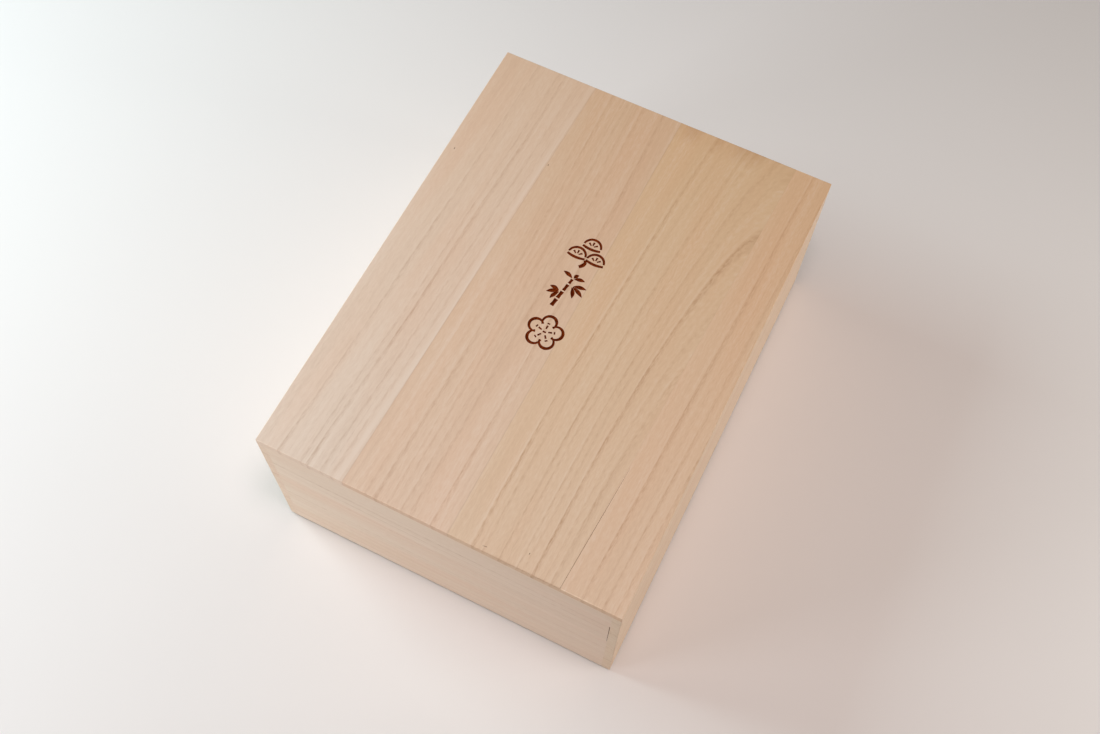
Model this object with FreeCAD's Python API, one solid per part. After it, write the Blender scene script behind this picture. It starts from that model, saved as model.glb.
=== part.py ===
"""Paulownia storage box for A4 documents, with a full-depth cover lid that lifts off.

The body is an open box: four wall boards stand on a floor of edge-glued strips.  The lid is a
second, slightly larger box that goes down over it: four wall boards under a top of edge-glued
strips, whose seams run slantwise because each strip keeps some of its log's taper.  The corners
of both are butt joints, held by tapered wooden pegs driven through the long side boards into
the ends of the short boards.  The top is held by glue alone.

Millimetres.  +X to the right, +Y to the back, along the length, +Z up.  The origin is on the
ground under the middle of the box.
"""
import FreeCAD, Part
import os
from math import cos, pi, sin

Vector = FreeCAD.Vector

# Clear space inside the body: an A4 sheet with room for the fingers all round.
INNER_W = 220.8
INNER_L = 308.0
INNER_DEPTH = 120.5

# Thickness of the boards.
BODY_WALL = 6.0
FLOOR = 6.0
LID_WALL = 6.0
LID_TOP = 6.0

# Fit of the lid over the body.
SLIDE_GAP = 0.6             # between a body wall and the lid wall outside it
RIM_GAP = 1.5               # from the ground up to the rim of the lid, when it is on

# Edges.
EASE = 0.5                  # rounding of the lid's outer edges
LEAD_IN = 1.0               # chamfer round the outside of the body's mouth, to guide the lid

# The lid's top strips, numbered from the left.  The third takes the width that is left.
STRIP_1_BACK = 69.7
STRIP_1_FRONT = 60.7
STRIP_2_BACK = 65.6
STRIP_2_FRONT = 71.6
STRIP_4_BACK = 25.6
STRIP_4_FRONT = 39.4

FLOOR_STRIP_COUNT = 3

# Wooden pegs, whittled to a taper, with their heads flush with the boards that they hold.
PEG_HEAD_R = 1.3
PEG_TIP_R = 0.8
PEG_LENGTH = 18.0
PEG_FLAT_COUNT = 12         # knife flats round a peg
CORNER_PEG_COUNT = 3        # in each corner
CORNER_PEG_MARGIN = 16.0    # from the end of a corner to its nearest peg
SIDE_PEG_COUNT = 5          # up through the floor into each long wall
SIDE_PEG_MARGIN = 24.0      # from the end of a long wall to its nearest peg

# Sizes that follow.
BODY_W = INNER_W + 2 * BODY_WALL
BODY_L = INNER_L + 2 * BODY_WALL
BODY_H = FLOOR + INNER_DEPTH
LID_W = BODY_W + 2 * (SLIDE_GAP + LID_WALL)
LID_L = BODY_L + 2 * (SLIDE_GAP + LID_WALL)
HEIGHT = BODY_H + LID_TOP


def board(low, high):
    """A rectangular board between two opposite corners."""
    size = high - low
    return Part.makeBox(size.x, size.y, size.z, low)


def spread(low, high, count):
    """Evenly spaced places from low to high, both included; a single one is in the middle."""
    if count == 1:
        return [(low + high) / 2]
    return [low + (high - low) * i / (count - 1) for i in range(count)]


def peg(head, inward):
    """A tapered peg from the middle of its head, on a board's face, to its tip inside."""
    across = Vector(0, 1, 0)
    upward = inward.cross(across)
    rings = []
    for centre, radius in ((head, PEG_HEAD_R), (head + inward * PEG_LENGTH, PEG_TIP_R)):
        turns = [2 * pi * i / PEG_FLAT_COUNT for i in range(PEG_FLAT_COUNT)]
        ring = [centre + (across * cos(t) + upward * sin(t)) * radius for t in turns]
        rings.append(Part.makePolygon(ring + ring[:1]))
    return Part.makeLoft(rings, True, True)


def bored(shape, pegs):
    """A board with a tapered bore for every peg that reaches it."""
    reaching = [p for p in pegs if shape.BoundBox.intersect(p.BoundBox)]
    return shape.cut(Part.makeCompound(reaching)) if reaching else shape


def near(a, b):
    return abs(a - b) < 0.001


def level_edges(shape, z, width, length):
    """The level edges at height z that lie on the outline of a box of this width and length."""
    found = []
    for edge in shape.Edges:
        a, b = [v.Point for v in edge.Vertexes]
        on_side = near(abs(a.x), width / 2) and near(a.x, b.x)
        on_end = near(abs(a.y), length / 2) and near(a.y, b.y)
        if near(a.z, z) and near(b.z, z) and (on_side or on_end):
            found.append(edge)
    return found


def corner_edges(shape, width, length):
    """The upright edges at the corners of a box of this width and length."""
    found = []
    for edge in shape.Edges:
        a, b = [v.Point for v in edge.Vertexes]
        at_corner = near(abs(a.x), width / 2) and near(abs(a.y), length / 2)
        if at_corner and near(a.x, b.x) and near(a.y, b.y):
            found.append(edge)
    return found


def four_walls(width, length, low, high, wall):
    """Four upright boards: the long left and right ones cover the ends of the short ones."""
    x, y = width / 2, length / 2
    return {
        "left": board(Vector(-x, -y, low), Vector(-x + wall, y, high)),
        "right": board(Vector(x - wall, -y, low), Vector(x, y, high)),
        "front": board(Vector(-x + wall, -y, low), Vector(x - wall, -y + wall, high)),
        "back": board(Vector(-x + wall, y - wall, low), Vector(x - wall, y, high)),
    }


def corner_pegs(width, length, low, high, wall):
    """Pegs through the long boards, into the ends of the short ones."""
    pegs = []
    for sign in (-1, 1):
        for y in (-(length - wall) / 2, (length - wall) / 2):
            for z in spread(low + CORNER_PEG_MARGIN, high - CORNER_PEG_MARGIN, CORNER_PEG_COUNT):
                pegs.append(peg(Vector(sign * width / 2, y, z), Vector(-sign, 0, 0)))
    return pegs


def floor_pegs(strip_width):
    """Pegs up through the floor: a row into each long wall, one a strip into each short wall."""
    side_x = (BODY_W - BODY_WALL) / 2
    end_y = (BODY_L - BODY_WALL) / 2
    reach = BODY_L / 2 - SIDE_PEG_MARGIN
    places = [(x, y) for x in (-side_x, side_x) for y in spread(-reach, reach, SIDE_PEG_COUNT)]
    for i in range(FLOOR_STRIP_COUNT):
        middle = -BODY_W / 2 + strip_width * (i + 0.5)
        places += [(middle, -end_y), (middle, end_y)]
    return [peg(Vector(x, y, 0), Vector(0, 0, 1)) for x, y in places]


def lid_top_strips():
    """Four strips side by side, each seam straight from its place at the back to the front."""
    back = [0, STRIP_1_BACK, STRIP_1_BACK + STRIP_2_BACK, LID_W - STRIP_4_BACK, LID_W]
    front = [0, STRIP_1_FRONT, STRIP_1_FRONT + STRIP_2_FRONT, LID_W - STRIP_4_FRONT, LID_W]
    left, end = -LID_W / 2, LID_L / 2
    nodes = {}
    for i in range(4):
        outline = [
            Vector(left + front[i], -end, BODY_H),
            Vector(left + front[i + 1], -end, BODY_H),
            Vector(left + back[i + 1], end, BODY_H),
            Vector(left + back[i], end, BODY_H),
        ]
        face = Part.Face(Part.makePolygon(outline + outline[:1]))
        strip = face.extrude(Vector(0, 0, LID_TOP))
        edges = level_edges(strip, HEIGHT, LID_W, LID_L) + corner_edges(strip, LID_W, LID_L)
        nodes["lid_top_strip_%d" % (i + 1)] = strip.makeFillet(EASE, edges)
    return nodes


def lid():
    """The cover lid: walls with eased corners and rim, top strips and corner pegs."""
    pegs = corner_pegs(LID_W, LID_L, RIM_GAP, BODY_H, LID_WALL)
    nodes = lid_top_strips()
    for side, wall in four_walls(LID_W, LID_L, RIM_GAP, BODY_H, LID_WALL).items():
        edges = level_edges(wall, RIM_GAP, LID_W, LID_L) + corner_edges(wall, LID_W, LID_L)
        nodes["lid_%s_board" % side] = bored(wall.makeFillet(EASE, edges), pegs)
    nodes["lid_corner_pegs"] = Part.makeCompound(pegs)
    return nodes


def body():
    """The open box under the lid: walls with a lead-in at the mouth, floor strips and pegs."""
    strip_width = BODY_W / FLOOR_STRIP_COUNT
    corner = corner_pegs(BODY_W, BODY_L, FLOOR, BODY_H, BODY_WALL)
    upright = floor_pegs(strip_width)
    nodes = {}
    for side, wall in four_walls(BODY_W, BODY_L, FLOOR, BODY_H, BODY_WALL).items():
        wall = wall.makeChamfer(LEAD_IN, level_edges(wall, BODY_H, BODY_W, BODY_L))
        nodes["body_%s_board" % side] = bored(wall, corner + upright)
    for i in range(FLOOR_STRIP_COUNT):
        left = -BODY_W / 2 + strip_width * i
        low = Vector(left, -BODY_L / 2, 0)
        strip = board(low, Vector(left + strip_width, BODY_L / 2, FLOOR))
        nodes["floor_strip_%d" % (i + 1)] = bored(strip, upright)
    nodes["body_corner_pegs"] = Part.makeCompound(corner)
    nodes["floor_pegs"] = Part.makeCompound(upright)
    return nodes


os.makedirs("parts", exist_ok=True)
for name, shape in {**lid(), **body()}.items():
    shape.exportStep("parts/%s.step" % name)
    print("%-18s %2d solids %9.1f mm3" % (name, len(shape.Solids), shape.Volume))
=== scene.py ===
# %% [markdown]
# # A paulownia box for papers, dressed in Blender
# The boards, strips and pegs come from CAD at their true size, so nothing here moves or resizes
# them. What is left to do is what CAD can't show: the timber, an ornament cut into the lid, the
# light and the camera. Blender's own lengths are metres, and the recipes below speak in
# millimetres, as a joiner would.

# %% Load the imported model
import math

import bpy
from mathutils import Matrix, Vector


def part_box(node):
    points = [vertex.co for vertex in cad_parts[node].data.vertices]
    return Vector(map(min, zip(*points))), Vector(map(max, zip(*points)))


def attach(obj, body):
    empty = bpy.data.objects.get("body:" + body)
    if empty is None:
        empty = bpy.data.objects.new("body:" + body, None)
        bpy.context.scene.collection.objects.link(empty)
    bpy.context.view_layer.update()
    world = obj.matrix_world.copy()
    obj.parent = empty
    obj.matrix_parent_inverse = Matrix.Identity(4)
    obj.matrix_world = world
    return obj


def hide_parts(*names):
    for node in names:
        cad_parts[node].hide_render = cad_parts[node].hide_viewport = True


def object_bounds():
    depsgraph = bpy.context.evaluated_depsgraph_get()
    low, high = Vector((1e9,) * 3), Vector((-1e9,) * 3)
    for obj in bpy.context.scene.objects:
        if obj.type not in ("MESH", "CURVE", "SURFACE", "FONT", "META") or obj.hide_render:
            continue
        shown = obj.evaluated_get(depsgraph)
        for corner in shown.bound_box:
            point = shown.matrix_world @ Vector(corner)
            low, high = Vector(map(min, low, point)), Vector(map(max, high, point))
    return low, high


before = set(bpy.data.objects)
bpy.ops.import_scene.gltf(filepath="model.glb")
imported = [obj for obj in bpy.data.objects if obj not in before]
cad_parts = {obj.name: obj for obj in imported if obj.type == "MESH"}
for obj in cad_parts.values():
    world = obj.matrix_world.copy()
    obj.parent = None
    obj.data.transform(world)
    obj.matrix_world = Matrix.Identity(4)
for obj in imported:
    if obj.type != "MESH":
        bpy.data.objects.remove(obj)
cad_low, cad_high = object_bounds()
# The six faces of the closed box, in mm.
LEFT, FRONT, GROUND = [round(1000 * edge, 1) for edge in cad_low]
RIGHT, BACK, TOP = [round(1000 * edge, 1) for edge in cad_high]
print("boards and pegs:", len(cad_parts))
print("box in mm:", RIGHT - LEFT, "wide,", BACK - FRONT, "long and", TOP - GROUND, "high")

# %% [markdown]
# ## Two small helpers
# Colours are written as the hex values that a paint chart gives. Blender's shaders want linear
# light, so one function turns the first into the second. The other function adds a shader node:
# settings are plain keywords, and each socket gets a value or another node's output. It keeps the
# recipes short enough to read as recipes.

# %% Colour and node helpers
def linear(hex_colour):
    """A hex colour such as "d9c4b0" as linear red, green, blue and full alpha."""
    channels = [int(hex_colour[i : i + 2], 16) / 255 for i in (0, 2, 4)]
    return [c / 12.92 if c <= 0.04045 else ((c + 0.055) / 1.055) ** 2.4 for c in channels] + [1.0]


def add(tree, kind, sockets=None, **settings):
    """Adds a node. sockets maps an input to a value or to another node's output."""
    made = tree.nodes.new(kind)
    for name, value in settings.items():
        setattr(made, name, value)
    for name, value in (sockets or {}).items():
        if isinstance(value, bpy.types.NodeSocket):
            tree.links.new(value, made.inputs[name])
        else:
            made.inputs[name].default_value = value
    return made


print("white as linear light:", linear("ffffff"))

# %% [markdown]
# ## The camera
# The view is from above and a little to the right of the front, about 64 degrees down, with a
# normal lens. A camera looks along its own minus Z, with X to the right and Y up, so three unit
# vectors give its turn exactly. Aiming it with a Track To constraint would be easier, but it can't
# hold the slight tilt of a camera held in the hand.

# %% Camera
camera_place = (0.15885, -0.35427, 0.84484)
camera_right = Vector((0.89481017, 0.44621191, 0.01448056))
camera_up = Vector((-0.40755358, 0.80318620, 0.43450202))
camera_back = Vector((0.18224939, -0.39469843, 0.90055444))
bpy.ops.object.select_all(action="DESELECT")
bpy.ops.object.camera_add(location=camera_place)
camera = bpy.context.active_object
camera.name = "camera_above_front"
turn = Matrix((camera_right, camera_up, camera_back)).transposed().to_4x4()
camera.matrix_world = Matrix.Translation(camera_place) @ turn
camera.data.lens = 41.43
camera.data.sensor_width = 36.0
camera.data.sensor_fit = "HORIZONTAL"
camera.data.clip_start = 0.02
camera.data.clip_end = 60.0
bpy.context.scene.camera = camera
print("camera looks down at", round(math.degrees(math.asin(camera_back.z)), 1), "degrees")

# %% [markdown]
# ## The sheet that the box stands on
# The box stands on a plain pale sheet of matt paper. A large disc is enough, since nothing but its
# middle shows. Its tone has soft clouds of two nearly equal whites, and its high roughness keeps
# the lamps from shining back, so that only their fall-off shades it.

# %% Floor
FLOOR_RADIUS = 4.0  # m, far more than the camera sees
CLOUDS_PER_METRE = 6.0  # one cloud of the paper's tone is about 170 mm wide
bpy.ops.object.select_all(action="DESELECT")
bpy.ops.mesh.primitive_circle_add(vertices=96, radius=FLOOR_RADIUS, fill_type="NGON")
floor = bpy.context.active_object
floor.name = "floor_sheet"
sheet = bpy.data.materials.new("matt_paper_sheet")
sheet.use_nodes = True
sheet_tree = sheet.node_tree
sheet_tree.nodes.clear()
where = add(sheet_tree, "ShaderNodeTexCoord")
clouds = add(sheet_tree, "ShaderNodeTexNoise", {
    "Vector": where.outputs["Object"], "Scale": CLOUDS_PER_METRE,
})
shade = add(sheet_tree, "ShaderNodeMix", {
    0: clouds.outputs[0], 6: linear("e9e8e6"), 7: linear("ebeae8"),
}, data_type="RGBA")
paper = add(sheet_tree, "ShaderNodeBsdfPrincipled", {
    "Base Color": shade.outputs[2], "Roughness": 0.85, "IOR": 1.45,
})
add(sheet_tree, "ShaderNodeOutputMaterial", {"Surface": paper.outputs[0]})
floor.data.materials.append(sheet)
print("floor radius in m:", FLOOR_RADIUS)

# %% [markdown]
# ## Lamps and world
# Four soft lamps light the box. The cool one on the left is like a window, and a warm one hangs
# high above the lid. A low panel at the front left lights the front board, and a low one at the
# right keeps the right side and its shadow from going dark. Their distance matters more than their
# strength: a near lamp fades across the picture, which makes the left of the sheet white and the
# right warm grey, while a far one would light both alike. The world adds a little warm light from
# all round. The Standard view keeps colours as the recipes give them.

# %% Lamps and world
lamps = {  # place in m, side of the square in m, watts, and red, green and blue of the light
    "window_lamp": ((-0.96, -0.085, 0.73), 0.57, 8.0, (0.834, 1.0, 1.049)),
    "ceiling_lamp": ((0.19, -0.19, 1.31), 0.28, 5.1, (1.226, 1.0, 0.983)),
    "front_panel": ((-0.90, -0.92, 0.20), 0.43, 7.8, (1.025, 1.0, 1.047)),
    "right_panel": ((1.09, 0.17, 0.23), 0.45, 4.45, (1.032, 1.0, 0.932)),
}
for name, (place, size, watts, tint) in lamps.items():
    bpy.ops.object.select_all(action="DESELECT")
    bpy.ops.object.light_add(type="AREA", location=place)
    lamp = bpy.context.active_object
    lamp.name = name
    lamp.data.shape = "SQUARE"
    lamp.data.size = size
    lamp.data.energy = watts
    lamp.data.color = tint
    lamp.visible_camera = False
    lamp.rotation_euler = Vector(place).to_track_quat("Z", "Y").to_euler()
    print(name, "at", place, "m,", watts, "W")
WARM_WALLS = (1.0, 0.85, 0.72, 1.0)
WALL_STRENGTH = 0.16
world = bpy.data.worlds.new("soft_room")
world.use_nodes = True
room = world.node_tree.nodes["Background"]
room.inputs["Color"].default_value = WARM_WALLS
room.inputs["Strength"].default_value = WALL_STRENGTH
bpy.context.scene.world = world
bpy.context.scene.view_settings.view_transform = "Standard"
print("world strength:", WALL_STRENGTH)

# %% [markdown]
# ## Paulownia, one log for every board
# The timber is kiri, paulownia: pale, light and planed without any varnish, so it has a dry satin
# look. Its growth rings show as soft brown lines, each with a pale edge on one side, and its large
# pores show as short dark dashes along the grain. A picture laid on the faces would be quick, but
# the grain would break at each edge. Here the wood is solid: each board is cut from an imagined
# log, and its rings are shells round the pith, so the top, the edges and the end grain of a board
# agree by themselves. The recipe first asks where a point lies in its board, and then how far that
# is from the pith. A real log is never quite straight, so this one wanders slowly, leans and
# tapers.

# %% Where a point lies in its board
def board_axes(tree, surface, axes, start):
    """A point's way across, along and into its board in mm, counted from start."""
    mm = add(tree, "ShaderNodeMapping", {
        "Vector": surface.outputs["Object"],
        "Scale": (1000.0, 1000.0, 1000.0),
        "Location": [-zero for zero in start],
    })
    parts = add(tree, "ShaderNodeSeparateXYZ", {0: mm.outputs[0]})
    return [parts.outputs["XYZ".index(axis)] for axis in axes]


# %% How far a point lies from the pith
BEND = (24.0, 150.0, 24.0)  # mm across, along and deep that one slow bend of the log reaches
BEND_WIDTH = 3.6  # mm that the rings wander from side to side


def pith_distance(tree, spot, pith, slant, taper, apex, seed):
    """The distance from the pith in mm. The seed gives each board bends of its own."""
    across, along, depth = spot
    board = add(tree, "ShaderNodeCombineXYZ", {0: across, 1: along, 2: depth})
    slow = add(tree, "ShaderNodeMapping", {
        "Vector": board.outputs[0],
        "Scale": [1 / size for size in BEND],
        "Location": (seed, 3.1 * seed, 1.7 * seed),
    })
    bends = add(tree, "ShaderNodeTexNoise", {
        "Vector": slow.outputs[0], "Scale": 1.0, "Detail": 0.8,
    })
    wander = add(tree, "ShaderNodeMath", {
        0: bends.outputs[0], 1: BEND_WIDTH, 2: -BEND_WIDTH / 2,
    }, operation="MULTIPLY_ADD")
    leant = add(tree, "ShaderNodeMath", {0: along, 1: -slant, 2: across}, operation="MULTIPLY_ADD")
    bent = add(tree, "ShaderNodeMath", {0: leant.outputs[0], 1: wander.outputs[0]})
    cone = add(tree, "ShaderNodeMath", {
        0: along, 1: taper, 2: -taper * apex,
    }, operation="MULTIPLY_ADD")
    log = add(tree, "ShaderNodeCombineXYZ", {0: bent.outputs[0], 1: cone.outputs[0], 2: depth})
    from_pith = add(tree, "ShaderNodeVectorMath", {
        0: log.outputs[0], 1: (pith[0], 0.0, pith[1]),
    }, operation="SUBTRACT")
    length = add(tree, "ShaderNodeVectorMath", {0: from_pith.outputs[0]}, operation="LENGTH")
    return length.outputs["Value"]


print("one bend of the log is", BEND[1], "mm long and moves the rings by", BEND_WIDTH, "mm")

# %% [markdown]
# ## The chief rings
# The rings that catch the eye are given one by one: where each crosses the face, how dark it is
# and how far it fades. A ring starts all at once with the wide pores of spring, which look dark,
# and fades as they thin out over the summer. The dense wood just before it makes a fine pale rim.
# A colour ramp over the distance from the pith turns a list of rings into shells. One ramp holds 32
# stops at most, so seven rings share a ramp, and the ramps are added up.

# %% Rings from a list
RIM_START, RIM = 2.2, 0.7  # mm before a ring at which its pale rim starts and is palest
RIM_LIFT, RING_DROP = 0.05, 0.28  # how far the rim rises and the ring falls from plain wood
RINGS_PER_RAMP = 7
PLAIN_END = 30.0  # mm of plain wood before the first ring and after the last


def ring_ramp(tree, radius, rings, low, high):
    """A ramp from the pith outwards: 0.5 is plain wood, lower a dark ring and higher a pale one."""
    share = add(tree, "ShaderNodeMapRange", {"Value": radius, "From Min": low, "From Max": high})
    ramp = add(tree, "ShaderNodeValToRGB", {"Fac": share.outputs[0]})
    stops = [(low, 0.5), (high, 0.5)]
    for spot, dark, fade in rings:
        side = math.copysign(1.0, fade)
        stops += [(spot - RIM_START * side, 0.5), (spot - RIM * side, 0.5 + RIM_LIFT * dark)]
        stops += [(spot, 0.5 - RING_DROP * dark), (spot + fade, 0.5)]
    stops.sort()
    points = ramp.color_ramp.elements
    for place, value in stops[1:-1]:
        points.new((place - low) / (high - low))
    for point, (place, value) in zip(points, stops):
        point.position = (place - low) / (high - low)
        point.color = (value, value, value, 1.0)
    return ramp.outputs[0]


def chief_rings(tree, radius, rings, pith):
    """All listed rings of a board: 0 is plain wood, below it is darker and above it paler."""
    outwards = 1.0 if rings[0][0] > pith[0] else -1.0
    shells = []
    for at, dark, fade in rings:
        shells.append((math.hypot(at - pith[0], pith[1]), dark, outwards * fade))
    low = min(shell[0] for shell in shells) - PLAIN_END
    high = max(shell[0] for shell in shells) + PLAIN_END
    total = None
    for first in range(0, len(shells), RINGS_PER_RAMP):
        ramp = ring_ramp(tree, radius, shells[first : first + RINGS_PER_RAMP], low, high)
        ringed = add(tree, "ShaderNodeMath", {0: ramp, 1: 0.5}, operation="SUBTRACT")
        if total is None:
            total = ringed.outputs[0]
        else:
            total = add(tree, "ShaderNodeMath", {0: total, 1: ringed.outputs[0]}).outputs[0]
    return total


print("rings to a ramp:", RINGS_PER_RAMP)

# %% [markdown]
# ## The grain between the rings
# No list could hold all the fine lines, so noise gives the rest. It is read inside the log, by the
# distance from the pith, along the grain and by depth, and stretched along the grain as the cells
# of the wood are. Broad bands, fine streaks and pores are added to the rings, and the rings
# themselves are broken by the pores and are strong in one place and faint in another.

# %% Bands, streaks and pores
GRAIN = {  # how wide, long and deep one patch of each is in mm
    "fade": (9.0, 45.0, 20.0),
    "band": (7.0, 260.0, 12.0),
    "streak": (1.9, 110.0, 3.0),
    "pore": (0.8, 4.5, 0.8),  # real pores are 0.3 mm wide, and these are coarser, so that they show
}
GRAIN_SHARE = {"band": 0.22, "streak": 0.20, "pore": -0.27}  # negative, because pores are dark


def grain_noise(tree, radius, along, depth, seed):
    """One noise for each name in GRAIN. The seed gives each board its own part of the log."""
    log = add(tree, "ShaderNodeCombineXYZ", {0: radius, 1: along, 2: depth})
    layers = {}
    for layer, sizes in GRAIN.items():
        fit = add(tree, "ShaderNodeMapping", {
            "Vector": log.outputs[0],
            "Scale": [1 / size for size in sizes],
            "Location": (2.3 * seed, seed + 0.74, 5.0 * seed),
        })
        noise = add(tree, "ShaderNodeTexNoise", {
            "Vector": fit.outputs[0], "Scale": 1.0, "Detail": 2.0,
        })
        layers[layer] = noise.outputs[0]
    return layers


# %% Rings and grain together
def growth(tree, rings, layers, way):
    """The wood's lines in one number: 0.5 is plain, lower is darker and higher is paler.

    way runs from 0 at the far end to 1 at the near end, where the lines stand out more.
    """
    strength = add(tree, "ShaderNodeMapRange", {
        "Value": layers["fade"], "From Min": 0.3, "From Max": 0.7, "To Min": 0.6, "To Max": 1.25,
    })
    dashes = add(tree, "ShaderNodeMapRange", {
        "Value": layers["pore"], "From Min": 0.40, "From Max": 0.62, "To Min": 0.58, "To Max": 1.33,
    })
    firmer = add(tree, "ShaderNodeMapRange", {"Value": way, "To Min": 0.70, "To Max": 1.15})
    busier = add(tree, "ShaderNodeMapRange", {"Value": way, "To Min": 0.74, "To Max": 1.04})
    lines = rings
    for factor in (strength, dashes, firmer):
        lines = add(tree, "ShaderNodeMath", {
            0: lines, 1: factor.outputs[0],
        }, operation="MULTIPLY").outputs[0]
    value = add(tree, "ShaderNodeMath", {0: lines, 1: 0.5})
    for layer, share in GRAIN_SHARE.items():
        centred = add(tree, "ShaderNodeMath", {0: layers[layer], 1: 0.5}, operation="SUBTRACT")
        scaled = add(tree, "ShaderNodeMath", {
            0: centred.outputs[0], 1: busier.outputs[0],
        }, operation="MULTIPLY")
        value = add(tree, "ShaderNodeMath", {
            0: scaled.outputs[0], 1: share, 2: value.outputs[0],
        }, operation="MULTIPLY_ADD")
    return value.outputs[0]


print("pores are", GRAIN["pore"][0], "mm wide and", GRAIN["pore"][1], "mm long")

# %% [markdown]
# ## The colour of the wood
# The tone runs from a far colour to a near colour along each board, and part of that change is
# painted light: the near end of each strip of the lid's top is paler and cooler, for the light and
# sheen on the front of the lid, and the left end of the front board is paler, for the light from
# the left. Pink heartwood blushes through in soft patches. Over that tone, the number for the lines
# turns the rings brown and lightens their rims to sapwood. The far edge of one strip once took up
# damp, which left a soft brown stain. End grain drinks the light: where a face looks along the
# grain, it is darker and browner. Last comes the glue, a hair of brown along each joint that the
# board shares.

# %% Tone, rings and sapwood
RING_BROWN = "d9cabe"  # what a full ring multiplies the tone by, as heartwood does in its patches
HEARTWOOD = "fffaf7"
SAPWOOD = "f2e7da"
BLUSH = (20.0, 140.0, 20.0)  # mm across, along and deep that one patch of heartwood reaches


def timber_colour(tree, spot, lines, way, tones_and_painted_light, heartwood, seed):
    """The wood's colour, from the colours at its far and near ends, whose difference is partly
    painted light, and the number for its lines.
    """
    across, along, depth = spot
    board = add(tree, "ShaderNodeCombineXYZ", {0: across, 1: along, 2: depth})
    drift = add(tree, "ShaderNodeMapping", {
        "Vector": board.outputs[0],
        "Scale": [1 / size for size in BLUSH],
        "Location": (4.1 * seed, seed, 2.2 * seed),
    })
    pinks = add(tree, "ShaderNodeTexNoise", {
        "Vector": drift.outputs[0], "Scale": 1.0, "Detail": 2.0,
    })
    pinkness = add(tree, "ShaderNodeMapRange", {
        "Value": pinks.outputs[0], "From Min": 0.42, "From Max": 0.72,
    })
    # Painted light: where the near colour is paler than the far one, it stands in for more light on
    # that end.
    far, near = [linear(tone) for tone in tones_and_painted_light]
    plain = add(tree, "ShaderNodeMix", {0: way, 6: far, 7: near}, data_type="RGBA")
    tone = add(tree, "ShaderNodeMix", {
        0: pinkness.outputs[0], 6: plain.outputs[2], 7: linear(heartwood),
    }, data_type="RGBA", blend_type="MULTIPLY")
    brown = add(tree, "ShaderNodeMix", {
        0: 1.0, 6: tone.outputs[2], 7: linear(RING_BROWN),
    }, data_type="RGBA", blend_type="MULTIPLY")
    darker = add(tree, "ShaderNodeMapRange", {"Value": lines, "From Min": 0.0, "From Max": 0.5})
    paler = add(tree, "ShaderNodeMapRange", {"Value": lines, "From Min": 0.5, "From Max": 1.0})
    ringed = add(tree, "ShaderNodeMix", {
        0: darker.outputs[0], 6: brown.outputs[2], 7: tone.outputs[2],
    }, data_type="RGBA")
    colour = add(tree, "ShaderNodeMix", {
        0: paler.outputs[0], 6: ringed.outputs[2], 7: linear(SAPWOOD),
    }, data_type="RGBA")
    return colour.outputs[2]


print("sapwood as linear light:", [round(part, 3) for part in linear(SAPWOOD)])

# %% Damp stain
STAIN = "b58757"
STAIN_FROM, STAIN_TO = -13.0, 4.0  # mm from the far end, between which the stain comes up


def damp_stain(tree, colour, along, patches, far_end, strength):
    """A brown stain in patches that follows the far edge."""
    edge = add(tree, "ShaderNodeMapRange", {
        "Value": along, "From Min": far_end + STAIN_FROM, "From Max": far_end + STAIN_TO,
    })
    blot = add(tree, "ShaderNodeMapRange", {"Value": patches, "From Min": 0.35, "From Max": 0.62})
    wet = add(tree, "ShaderNodeMath", {
        0: edge.outputs[0], 1: blot.outputs[0],
    }, operation="MULTIPLY")
    damp = add(tree, "ShaderNodeMath", {0: wet.outputs[0], 1: strength}, operation="MULTIPLY")
    stained = add(tree, "ShaderNodeMix", {
        0: damp.outputs[0], 6: colour, 7: linear(STAIN),
    }, data_type="RGBA")
    return stained.outputs[2]


print("the stain is", STAIN_TO - STAIN_FROM, "mm wide")

# %% End grain
END_GRAIN = "f1e8de"


def end_grain(tree, colour, surface, axes, end_tone):
    """Darkens the faces that look along the grain."""
    facing = add(tree, "ShaderNodeSeparateXYZ", {0: surface.outputs["Normal"]})
    end_on = add(tree, "ShaderNodeMath", {
        0: facing.outputs["XYZ".index(axes[1])],
    }, operation="ABSOLUTE")
    end = add(tree, "ShaderNodeMapRange", {
        "Value": end_on.outputs[0], "From Min": 0.6, "From Max": 0.95,
    })
    ended = add(tree, "ShaderNodeMix", {
        0: end.outputs[0], 6: colour, 7: linear(end_tone),
    }, data_type="RGBA", blend_type="MULTIPLY")
    return ended.outputs[2]


print("end grain as linear light:", [round(part, 3) for part in linear(END_GRAIN)])

# %% Glue lines
GLUE = "8a6248"


def glue_line(tree, colour, across, along, front_end, lean, width, strength):
    """A line that crosses the front at front_end and leans by mm per mm towards the back."""
    joint = add(tree, "ShaderNodeMath", {0: along, 1: lean, 2: front_end}, operation="MULTIPLY_ADD")
    past = add(tree, "ShaderNodeMath", {0: across, 1: joint.outputs[0]}, operation="SUBTRACT")
    away = add(tree, "ShaderNodeMath", {0: past.outputs[0]}, operation="ABSOLUTE")
    mark = add(tree, "ShaderNodeMapRange", {
        "Value": away.outputs[0], "From Min": width, "From Max": 0.0, "To Max": strength,
    })
    glued = add(tree, "ShaderNodeMix", {
        0: mark.outputs[0], 6: colour, 7: linear(GLUE),
    }, data_type="RGBA")
    return glued.outputs[2]


print("glue as linear light:", [round(part, 3) for part in linear(GLUE)])

# %% [markdown]
# ## The planed board
# All the steps meet in one recipe that any board can be cut from. A plane leaves paulownia satin
# along the grain and a little drier in the pores, which are shallow dents, so the number for the
# lines also drives the roughness and a bump a quarter of a millimetre deep.

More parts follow.
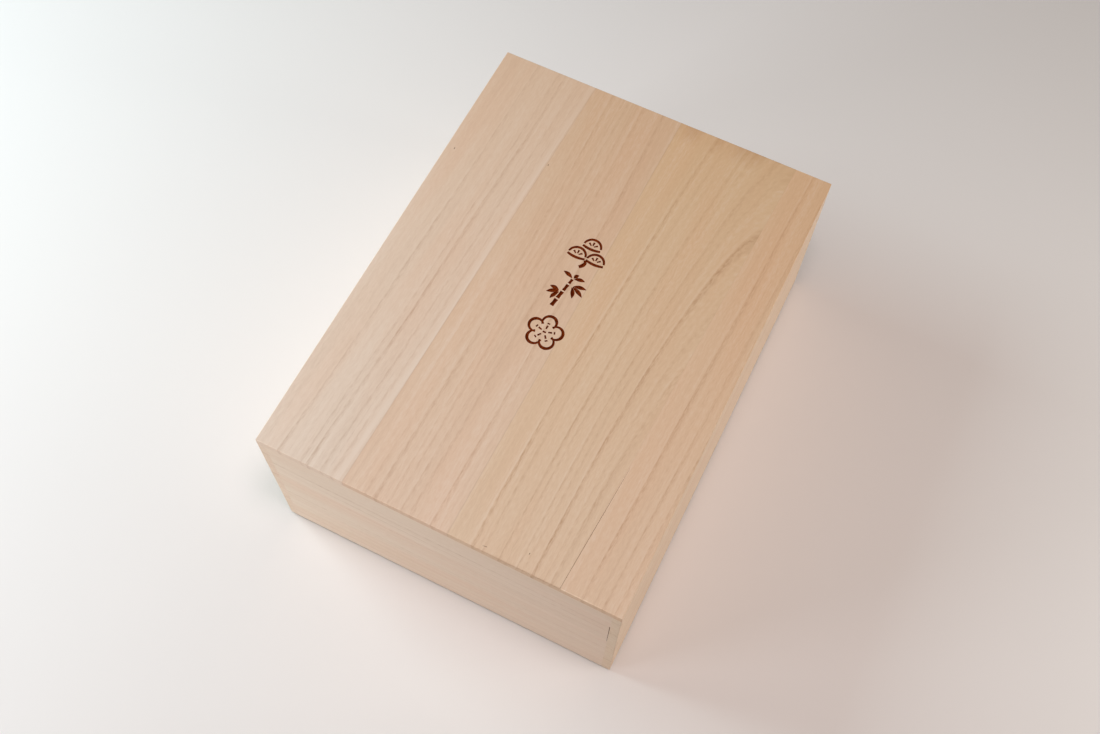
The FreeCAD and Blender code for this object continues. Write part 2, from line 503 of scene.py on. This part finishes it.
# %% One board of planed paulownia
def paulownia(name, axes, start, pith, rings, tones_and_painted_light, heartwood=HEARTWOOD, slant=0.0, taper=0.1,
              apex=0.0, seed=0.0, ends=(330.0, 0.0), stain=0.0, end_tone=END_GRAIN, joints=()):
    """A board's wood, with all lengths in mm.

    axes names the axes across, along and into the board, and start is where they are zero. pith is
    the log's middle, across and deep. A ring is its place across the face, its darkness and its
    fade. The grain leans by slant and the log narrows by taper, both for each mm along, and at
    apex the rings have just their listed places. The two colours given for the far and the near end
    are placed along the board by ends, and part of the difference between them is painted light. A
    joint is what glue_line asks for.
    """
    material = bpy.data.materials.new(name)
    material.use_nodes = True
    tree = material.node_tree
    tree.nodes.clear()
    surface = add(tree, "ShaderNodeTexCoord")
    spot = board_axes(tree, surface, axes, start)
    across, along, depth = spot
    radius = pith_distance(tree, spot, pith, slant, taper, apex, seed)
    layers = grain_noise(tree, radius, along, depth, seed)
    way = add(tree, "ShaderNodeMapRange", {
        "Value": along, "From Min": ends[0], "From Max": ends[1],
    })
    lines = growth(tree, chief_rings(tree, radius, rings, pith), layers, way.outputs[0])
    colour = timber_colour(tree, spot, lines, way.outputs[0], tones_and_painted_light, heartwood, seed)
    if stain > 0.0:
        colour = damp_stain(tree, colour, along, layers["band"], ends[0], stain)
    colour = end_grain(tree, colour, surface, axes, end_tone)
    for joint in joints:
        colour = glue_line(tree, colour, across, along, *joint)
    satin = add(tree, "ShaderNodeMapRange", {
        "Value": lines, "From Min": 0.2, "From Max": 0.8, "To Min": 0.70, "To Max": 0.58,
    })
    dents = add(tree, "ShaderNodeBump", {"Height": lines, "Strength": 0.5, "Distance": 0.00025})
    wood = add(tree, "ShaderNodeBsdfPrincipled", {
        "Base Color": colour, "Roughness": satin.outputs[0], "Normal": dents.outputs[0], "IOR": 1.5,
    })
    add(tree, "ShaderNodeOutputMaterial", {"Surface": wood.outputs[0]})
    return material


def wear(node, material):
    """Gives a CAD piece its finish in every slot it has."""
    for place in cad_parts[node].material_slots:
        place.material = material


print("pieces to dress:", len(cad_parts))

# %% [markdown]
# ## The four strips of the lid's top
# The top is glued up from four strips with slanting joints. The first strip is the palest, with a
# double dashed line and a white band of sapwood along its joint; the second is pinker; the third
# was cut near the pith of its log, so its rings arch; the fourth is straight again. A ring is given
# by its place near the front edge, counted from the lid's left side, then by how dark it is and how
# wide it fades.

# %% Lid top
# A joint is its place at the front edge, its lean, half the width of its glue, and how brown it is.
JOINT_1 = (LEFT + 60.7, 0.0270, 0.6, 0.15)
JOINT_2 = (LEFT + 132.3, 0.0090, 0.6, 0.18)
JOINT_3 = (LEFT + 206.6, 0.0414, 0.5, 0.06)
# On every strip the near tone is paler and cooler than the far one: painted light and sheen on the
# front of the lid, laid over the strip's own tone.
top_strips = {
    "lid_top_strip_1": dict(
        pith=(-320.0, -30.0), slant=0.030, taper=0.13, apex=166.0, seed=1.3,
        rings=[(16.5, 0.55, 2.5), (32.5, 0.55, 2.0), (37.2, 0.85, 2.5), (47.0, 0.5, 2.0),
               (51.0, 0.4, 2.0), (54.0, 0.35, 1.5), (59.3, -0.45, -8.0)],
        tones_and_painted_light=("dabea2", "e0cfbd"), joints=(JOINT_1,), end_tone="f7f1ea",
    ),
    "lid_top_strip_2": dict(
        pith=(-320.0, -40.0), taper=0.20, apex=166.0, seed=2.1,
        rings=[(79.0, 0.25, 2.0), (84.8, 0.6, 3.0), (93.0, 0.35, 2.5), (97.0, 0.35, 2.0),
               (103.0, 0.4, 2.5), (108.5, 0.4, 3.0), (122.8, 0.65, 3.0)],
        tones_and_painted_light=("d6b796", "dec5ad"), joints=(JOINT_1, JOINT_2),
    ),
    "lid_top_strip_3": dict(
        pith=(101.4, -8.0), taper=0.13, seed=3.4, stain=0.45,
        rings=[(149.0, 0.95, 2.5), (155.5, 0.3, 2.0), (166.0, 0.65, 2.5), (170.0, 0.4, 2.0),
               (177.5, 0.55, 2.5), (181.5, 0.3, 2.0), (188.0, 1.15, 2.5), (196.0, 0.3, 2.0),
               (200.5, 0.55, 2.5)],
        tones_and_painted_light=("d7b891", "dcc3a7"), joints=(JOINT_2, JOINT_3),
    ),
    "lid_top_strip_4": dict(
        pith=(-320.0, -30.0), slant=0.040, taper=0.0, seed=4.6,
        rings=[(220.0, 0.8, 3.0), (227.5, 0.25, 2.0), (233.0, 0.5, 2.5), (241.0, 0.6, 2.5)],
        tones_and_painted_light=("d9b791", "dcc1a5"), joints=(JOINT_3,),
    ),
}
for node, recipe in top_strips.items():
    recipe["rings"] = [(LEFT + at, dark, fade) for at, dark, fade in recipe["rings"]]
    wear(node, paulownia("paulownia_planed_" + node[4:], "XYZ", (0.0, FRONT, TOP), **recipe))
    print(node, "has", len(recipe["rings"]), "chief rings")

# %% [markdown]
# ## The four walls of the lid
# The same recipe dresses the walls. Their grain runs level, so the rings are listed by height, and
# each board has its own pith and seed so that no two look alike. The front board is a cooler,
# greyer piece than the top. The side boards' ends show at the front and back as end grain, a shade
# darker, which is how one sees at once that the corners are plain butt joints. The depth of a wall
# is counted from its outer face, and the CAD piece says where that is.

# %% Where a board starts
def face_start(node, axis, side):
    """A start in mm on the low or high side of a CAD piece, and zero along the other axes."""
    low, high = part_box(node)
    corner = low if side == "low" else high
    start = [0.0, 0.0, 0.0]
    start["XYZ".index(axis)] = round(1000 * corner["XYZ".index(axis)], 1)
    return start


print("the lid's front board starts at", face_start("lid_front_board", "Y", "low"), "mm")

# %% Lid sides
side_boards = {  # axes, the side that is the outer face, and the recipe
    "lid_front_board": ("ZXY", "low", dict(
        pith=(300.0, 30.0), taper=0.25, seed=5.2, ends=(117.0, -117.0), heartwood="fff8f5",
        rings=[(99.0, 0.8, 2.5), (90.5, 0.5, 2.0), (84.0, -0.4, 2.0), (78.5, 0.45, 2.0),
               (71.0, 0.2, 2.0), (49.0, 0.4, 3.0), (38.5, 0.3, 2.0), (12.5, 0.4, 2.0)],
        # The left end is paler than the right: painted light from the left, over the board's own
        # grey tone.
        tones_and_painted_light=("d8c2ad", "dccab4"),
    )),
    "lid_back_board": ("ZXY", "high", dict(
        pith=(-260.0, -40.0), taper=0.2, seed=6.8,
        rings=[(112.0, 0.5, 2.5), (96.0, 0.4, 2.0), (74.0, 0.7, 2.5), (52.0, 0.3, 2.0),
               (30.0, 0.6, 2.5)],
        tones_and_painted_light=("d9c6b2", "d9c6b2"),
    )),
    "lid_left_board": ("ZYX", "low", dict(
        pith=(-280.0, 40.0), taper=0.2, seed=7.7, end_tone="fdfffb",
        rings=[(114.0, 0.6, 2.5), (101.0, 0.4, 2.0), (80.0, 0.7, 2.5), (63.0, 0.4, 2.0),
               (35.0, 0.6, 2.5), (18.0, 0.3, 2.0)],
        tones_and_painted_light=("dcc5b0", "dcc5b0"),
    )),
    "lid_right_board": ("ZYX", "high", dict(
        pith=(-260.0, -40.0), taper=0.2, seed=8.9, end_tone="f8fbf8",
        rings=[(118.0, 0.5, 2.5), (92.0, 0.7, 2.5), (85.0, 0.4, 2.0), (57.0, 0.6, 2.5),
               (26.0, 0.6, 2.5)],
        tones_and_painted_light=("dcc3ab", "dcc3ab"),
    )),
}
for node, (axes, side, recipe) in side_boards.items():
    start = face_start(node, axes[2], side)
    wear(node, paulownia("paulownia_planed_" + node[4:], axes, start, **recipe))
    print(node, "has", len(recipe["rings"]), "chief rings")

# %% [markdown]
# ## The box inside, its floor and the pegs
# Nobody sees these until the lid is lifted, so one list of rings serves all seven boards, and the
# seed alone makes them differ. The walls start at their outer face, and each strip of the floor
# starts at its left edge. The pegs are deutzia, a hard, yellower wood that joiners use for this:
# they hold a corner without iron, which would stain paulownia. Only their small round ends show, so
# the same recipe serves them, with one ring and a tone of their own.

# %% Body boards
body_boards = {  # axes, the axis and side where the start lies, and the seed
    "body_front_board": ("ZXY", "Y", "low", 11.3),
    "body_back_board": ("ZXY", "Y", "high", 12.9),
    "body_left_board": ("ZYX", "X", "low", 13.1),
    "body_right_board": ("ZYX", "X", "high", 14.7),
    "floor_strip_1": ("XYZ", "X", "low", 15.5),
    "floor_strip_2": ("XYZ", "X", "low", 16.1),
    "floor_strip_3": ("XYZ", "X", "low", 17.8),
}
inner_rings = [(12.0, 0.6, 2.5), (27.0, 0.4, 2.0), (44.0, 0.7, 2.5), (58.0, 0.3, 2.0),
               (71.0, 0.6, 2.5), (96.0, 0.6, 2.5), (110.0, 0.4, 2.5)]
for node, (axes, start_axis, side, seed) in body_boards.items():
    start = face_start(node, start_axis, side)
    board_wood = paulownia(
        "paulownia_planed_" + node, axes, start, pith=(-240.0, -30.0), rings=inner_rings,
        tones_and_painted_light=("dcc4ad", "dac2ac"), taper=0.18, seed=seed,
    )
    wear(node, board_wood)
    print(node, "starts at", start, "mm")

# %% Pegs
pegs = {"lid_corner_pegs": "YXZ", "body_corner_pegs": "YXZ", "floor_pegs": "XZY"}
for node, axes in pegs.items():
    peg_wood = paulownia(
        "deutzia_peg_" + node, axes, start=(0.0, 0.0, 0.0), pith=(-90.0, 20.0),
        rings=[(0.0, 0.3, 2.0)], tones_and_painted_light=("c9ab86", "c9ab86"), seed=19.0,
    )
    wear(node, peg_wood)
print("materials:", len(bpy.data.materials))

# %% [markdown]
# ## The ornament cut into the lid
# Down the middle of the lid runs a column of three small signs, each about 26 mm high, cut and
# seared dark. They are pine, bamboo and plum, the old trio of friends of winter, drawn plainly.
# Paint on the surface would be quick, but a cut has walls that catch light and shade, so the
# strokes are real grooves. Each stroke is a curve whose thickness swells and tapers as a brush
# stroke's does. The curves become tubes, and a Boolean modifier takes them out of copies of the
# boards they cross.

# %% One stroke
LEAST_POINTS = 5  # a new curve has five points, and none of them can be taken away


def stroke(points, width, swell):
    """A tube along points in mm (x, y, and z if not the lid's top), with width times swell."""
    while len(points) < LEAST_POINTS:
        middles = [tuple((p + q) / 2 for p, q in zip(a, b)) for a, b in zip(points, points[1:])]
        points = [p for pair in zip(points, middles) for p in pair] + [points[-1]]
    bpy.ops.object.select_all(action="DESELECT")
    bpy.ops.curve.primitive_nurbs_path_add(location=(0.0, 0.0, 0.0))
    curve = bpy.context.active_object
    line = curve.data.splines[0]
    line.points.add(len(points) - len(line.points))
    line.order_u = 3
    line.use_endpoint_u = True
    spans = len(swell) - 1
    for i, (point, spot) in enumerate(zip(line.points, points)):
        way = i / (len(points) - 1) * spans
        span = min(int(way), spans - 1)
        part = way - span
        height = spot[2] if len(spot) == 3 else TOP
        point.co = (spot[0] / 1000, spot[1] / 1000, height / 1000, 1.0)
        point.radius = swell[span] * (1 - part) + swell[span + 1] * part
    line.resolution_u = 4
    curve.data.bevel_depth = width / 2000
    curve.data.bevel_resolution = 2
    curve.data.use_fill_caps = True
    bpy.ops.object.convert(target="MESH")
    return bpy.context.active_object


print("a stroke has", LEAST_POINTS, "points or more")

# %% Lines for the strokes
BOW_POINTS = 7
ARC_POINTS = 13


def bowed(start, end, belly):
    """Points from start to end, bowed sideways by belly, all in mm."""
    (x0, y0), (x1, y1) = start, end
    long = math.hypot(x1 - x0, y1 - y0)
    points = []
    for i in range(BOW_POINTS):
        t = i / (BOW_POINTS - 1)
        bow = 4 * belly * t * (1 - t) / long
        points.append((x0 + (x1 - x0) * t - (y1 - y0) * bow, y0 + (y1 - y0) * t + (x1 - x0) * bow))
    return points


def polar(centre, angle, reach):
    """The point at an angle in degrees and a reach in mm from centre."""
    a = math.radians(angle)
    return (centre[0] + reach * math.cos(a), centre[1] + reach * math.sin(a))


def spoke(centre, angle, inner, outer):
    """A straight line that points away from centre."""
    return [polar(centre, angle, inner), polar(centre, angle, outer)]


def arc(centre, radius, start, sweep):
    """Points on an arc, with angles in degrees."""
    last = ARC_POINTS - 1
    return [polar(centre, start + sweep * i / last, radius) for i in range(ARC_POINTS)]


print("points to an arc:", ARC_POINTS)

# %% How the strokes swell
EVEN = (0.8, 1.0, 1.0, 0.8)
BRUSH = (0.5, 1.0, 0.85, 0.5)
LEAF = (0.15, 0.75, 1.0, 0.8, 0.1)
NEEDLE = (0.6, 1.0)
TRUNK = (0.6, 0.8, 1.0, 0.8)
CANE = (1.0, 0.82, 1.0)
STAMEN = (0.8, 1.0)
DOT = (0.8, 0.8)
EYE = (0.9, 0.9)
cuts = []
print("a leaf swells from", LEAF[0], "to", max(LEAF), "of its width, and back to", LEAF[-1])

# %% [markdown]
# ### Pine
# Three round fans of needles stand over a leaning trunk. Each fan is an arc over a flat branch,
# with three needles between them. Thin lines would close up at this size, so there are few of them.

# %% Pine: three fans and a trunk
pine = (0.5, 42.8)  # the sign's middle in mm from the lid's middle
fans = ((-6.6, -4.2), (6.6, -4.2), (0.0, 5.4))  # the root of each fan, from the sign's middle
branch_half, branch_drop = 6.2, 0.8
for x, y in fans:
    root = (pine[0] + x, pine[1] + y)
    cuts.append(stroke(arc(root, radius=6.0, start=8, sweep=164), width=1.8, swell=EVEN))
    left_end = (root[0] - branch_half, root[1] - branch_drop)
    right_end = (root[0] + branch_half, root[1] - branch_drop)
    cuts.append(stroke(bowed(left_end, right_end, belly=-1.0), width=2.0, swell=EVEN))
    for angle in (40, 90, 140):
        needle = spoke(root, angle, inner=1.3, outer=4.0)
        cuts.append(stroke(needle, width=1.4, swell=NEEDLE))
trunk_bends = ((0.2, -5.6), (1.2, -7.6), (0.6, -9.6), (-1.4, -11.8))
trunk = [(pine[0] + x, pine[1] + y) for x, y in trunk_bends]
cuts.append(stroke(trunk, width=2.8, swell=TRUNK))
print("pine strokes:", len(cuts))

# %% [markdown]
# ### Bamboo
# A cane leans to the right in four joints, each thinner than the one below and waisted in its
# middle. Three sprays of leaves grow from it. A leaf is one stroke that starts and ends as a point.

# %% Bamboo: a cane in four joints, and three sprays of leaves
bamboo = (0.5, 10.6)
cane_lean = 0.16  # how far the cane goes right for each mm up
cane_left = -2.6  # where it passes the sign's middle
joints = ((-13.0, -7.4, 2.9), (-6.4, -0.8, 2.7), (0.2, 5.4, 2.4), (6.4, 10.2, 2.1))
for foot, head, width in joints:
    heights = (foot, 0.5 * (foot + head), head)
    cane = [(bamboo[0] + cane_left + cane_lean * y, bamboo[1] + y) for y in heights]
    cuts.append(stroke(cane, width, CANE))
sprays = (  # a spray's place, and the angle and length of each of its leaves
    ((1.0, 5.6), ((8, 9.6), (-28, 10.4), (-66, 9.0))),
    ((-4.4, -1.2), ((172, 7.6), (206, 8.8), (244, 8.2))),
    ((-0.8, 10.6), ((56, 4.8), (10, 8.0), (160, 8.4))),
)
for place, leaves in sprays:
    bud = (bamboo[0] + place[0], bamboo[1] + place[1])
    for angle, long in leaves:
        belly = 0.5 if math.cos(math.radians(angle)) > 0 else -0.5
        leaf = bowed(*spoke(bud, angle, inner=0.9, outer=long), belly)
        cuts.append(stroke(leaf, width=2.9, swell=LEAF))
print("pine and bamboo strokes:", len(cuts))

# %% [markdown]
# ### Plum
# Five round petals stand in a ring, each an open arc as a brush would draw it. A stamen and its dot
# point at the middle of each petal, and a small eye closes the middle of the flower.

# %% Plum: petals, stamens, dots and an eye
plum = (0.5, -21.6)
petal_reach = 7.3
eye_half = 0.6
for angle in range(90, 450, 72):
    petal = arc(polar(plum, angle, petal_reach), radius=4.7, start=angle - 126, sweep=252)
    cuts.append(stroke(petal, width=2.2, swell=BRUSH))
    cuts.append(stroke(spoke(plum, angle, inner=2.4, outer=5.0), width=1.3, swell=STAMEN))
    cuts.append(stroke(spoke(plum, angle, inner=6.0, outer=7.0), width=2.4, swell=DOT))
eye = [polar(plum, 90, eye_half), polar(plum, 270, eye_half)]
cuts.append(stroke(eye, width=2.5, swell=EYE))
print("strokes in all:", len(cuts))

# %% [markdown]
# ## Seared wood, and painted shade inside a crack
# The cut is scorched, a dull red-brown char that is darkest where the heat stayed longest. Char has
# next to no sheen, so its specular level is low: with the usual level the grooves would look grey.
# It breaks up in short fibres along the grain. The same recipe with a browner pair of colours
# paints the shade inside a crack, whose groove is much shallower than the crack, and gives the
# specks a dark that is partly their own colour and partly painted shade.

# %% Char
FIBRES_PER_METRE = (1200.0, 250.0, 1200.0)  # a fibre is 0.8 mm wide and deep, and 4 mm long


def scorched(name, dark, light):
    """A dull material that goes from dark to light in fibres along the grain."""
    material = bpy.data.materials.new(name)
    material.use_nodes = True
    tree = material.node_tree
    tree.nodes.clear()
    surface = add(tree, "ShaderNodeTexCoord")
    fibres = add(tree, "ShaderNodeMapping", {
        "Vector": surface.outputs["Object"], "Scale": FIBRES_PER_METRE,
    })
    burnt = add(tree, "ShaderNodeTexNoise", {
        "Vector": fibres.outputs[0], "Scale": 1.0, "Detail": 3.0,
    })
    heat = add(tree, "ShaderNodeMapRange", {
        "Value": burnt.outputs[0], "From Min": 0.3, "From Max": 0.7,
    })
    char = add(tree, "ShaderNodeMix", {
        0: heat.outputs[0], 6: linear(dark), 7: linear(light),
    }, data_type="RGBA")
    rough = add(tree, "ShaderNodeBump", {
        "Height": burnt.outputs[0], "Distance": 0.0002, "Strength": 0.5,
    })
    dull = add(tree, "ShaderNodeBsdfPrincipled", {
        "Base Color": char.outputs[2], "Normal": rough.outputs[0],
        "Roughness": 0.9, "Specular IOR Level": 0.05,
    })
    add(tree, "ShaderNodeOutputMaterial", {"Surface": dull.outputs[0]})
    return material


seared = scorched("seared_paulownia", "4e1502", "8a3c10")
# Painted shade: a dark brown for the shade deep inside a crack, which the shallow grooves can't
# cast, and the specks share it.
crack_painted_shade = scorched("open_joint_painted_shade", "5e4032", "7a5644")
print("dark finishes:", seared.name, "and", crack_painted_shade.name)

# %% [markdown]
# ## Cracks and specks
# Paulownia moves as it dries. The joint between the third and fourth strips has opened by a hair at
# the front, and so has the corner joint at the right of the front board. A few short pores and pin
# knots stand out as specks. They are cut with the same strokes as the ornament, only finer, because
# a groove stays where it is when the view or the light changes. The grooves are shallow, so their
# dark brown is painted shade that stands in for the depth of the crack and the slit.

# %% Hairlines
# The crack runs out over the front edge, and the slit is just left of the corner joint at 117 mm.
crack = [(83.0, FRONT - 0.4), (84.2, -146.0), (85.6, -122.0), (86.9, -100.0), (87.9, -81.0)]
hairlines = [stroke(crack, width=0.19, swell=(0.8, 1.0, 1.0, 0.9, 0.3))]
specks = (  # the two ends of each speck, its width, and how it swells
    ((-54.2, 93.8), (-54.0, 92.6), 0.5, (1.0, 0.8)),
    ((-117.1, 77.2), (-117.0, 75.8), 0.5, (1.0, 0.7)),
    ((58.1, -155.0), (58.0, -156.2), 0.38, (0.8, 1.0)),
    ((31.4, -163.6), (34.0, -163.2), 0.3, (0.5, 1.0)),
)
for first, last, width, swell in specks:
    hairlines.append(stroke([first, last], width, swell))
slit = [(116.7, FRONT, 104.0), (116.8, FRONT, 101.0), (116.8, FRONT, 88.0), (116.7, FRONT, 69.5)]
corner = stroke(slit, width=0.42, swell=(1.5, 1.0, 0.8, 0.4))
print("hairlines:", len(hairlines) + 1)

# %% [markdown]
# ## Cutting
# All strokes of one finish are joined to one tool, which hands its material on to the walls of the
# groove. The tools cut copies of the CAD boards, and the copies then stand in for them. A CAD mesh
# is loose triangles, so a copy is merged and its flat faces are made whole before the cut, or the
# Boolean would have no closed solid to work on. Where two strokes meet, the cut leaves a few
# slivers thinner than a hair, and these are cleaned away after it.

# %% Cutting tools
def cutter(strokes, name, material):
    """Joins the strokes to one cutting tool with one material."""
    bpy.ops.object.select_all(action="DESELECT")
    for one in strokes:
        one.select_set(True)
    bpy.context.view_layer.objects.active = strokes[0]
    if len(strokes) > 1:
        bpy.ops.object.join()
    tool = bpy.context.active_object
    tool.name = name
    tool.data.materials.clear()
    tool.data.materials.append(material)
    return tool


ornament_tool = cutter(cuts, "ornament_cutter", seared)
hairline_tool = cutter(hairlines, "hairline_cutter", crack_painted_shade)
corner_tool = cutter([corner], "corner_cutter", crack_painted_shade)
print("cutting tools:", ornament_tool.name, hairline_tool.name, corner_tool.name)

# %% Cut them out of the boards
SAME_POINT = 0.000001  # m, for the corners that the loose triangles share
SLIVER = 0.000002  # m, the width up to which a leftover of the cut is cleaned away
FLAT = 0.01  # radians between faces that count as one flat face
carved_boards = {  # the record's material slot for the copy, and the tools that cut it
    "lid_top_strip_1": ("paulownia_pale", [hairline_tool]),
    "lid_top_strip_2": ("paulownia", [ornament_tool, hairline_tool]),
    "lid_top_strip_3": ("paulownia_warm", [ornament_tool, hairline_tool]),
    "lid_top_strip_4": ("paulownia_warm", [hairline_tool]),
    "lid_front_board": ("paulownia_grey", [corner_tool]),
}
for node, (slot, tools) in carved_boards.items():
    carved = bpy.data.objects.new("carved_" + node[4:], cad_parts[node].data.copy())
    bpy.context.scene.collection.objects.link(carved)
    bpy.ops.object.select_all(action="DESELECT")
    carved.select_set(True)
    bpy.context.view_layer.objects.active = carved
    bpy.ops.object.mode_set(mode="EDIT")
    bpy.ops.mesh.select_all(action="SELECT")
    bpy.ops.mesh.remove_doubles(threshold=SAME_POINT)
    bpy.ops.mesh.dissolve_limited(angle_limit=FLAT)
    bpy.ops.object.mode_set(mode="OBJECT")
    for tool in tools:
        groove = carved.modifiers.new("cut", "BOOLEAN")
        groove.operation = "DIFFERENCE"
        groove.solver = "EXACT"
        groove.use_self = True
        groove.material_mode = "TRANSFER"
        groove.object = tool
        bpy.ops.object.modifier_apply(modifier=groove.name)
    bpy.ops.object.mode_set(mode="EDIT")
    bpy.ops.mesh.select_all(action="SELECT")
    bpy.ops.mesh.remove_doubles(threshold=SLIVER)
    bpy.ops.mesh.dissolve_degenerate(threshold=SLIVER)
    bpy.ops.object.mode_set(mode="OBJECT")
    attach(carved, "cover_lid")
    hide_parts(node)
    print(carved.name, "faces:", len(carved.data.polygons), "finishes:", len(carved.data.materials))
for tool in (ornament_tool, hairline_tool, corner_tool):
    bpy.data.objects.remove(tool)
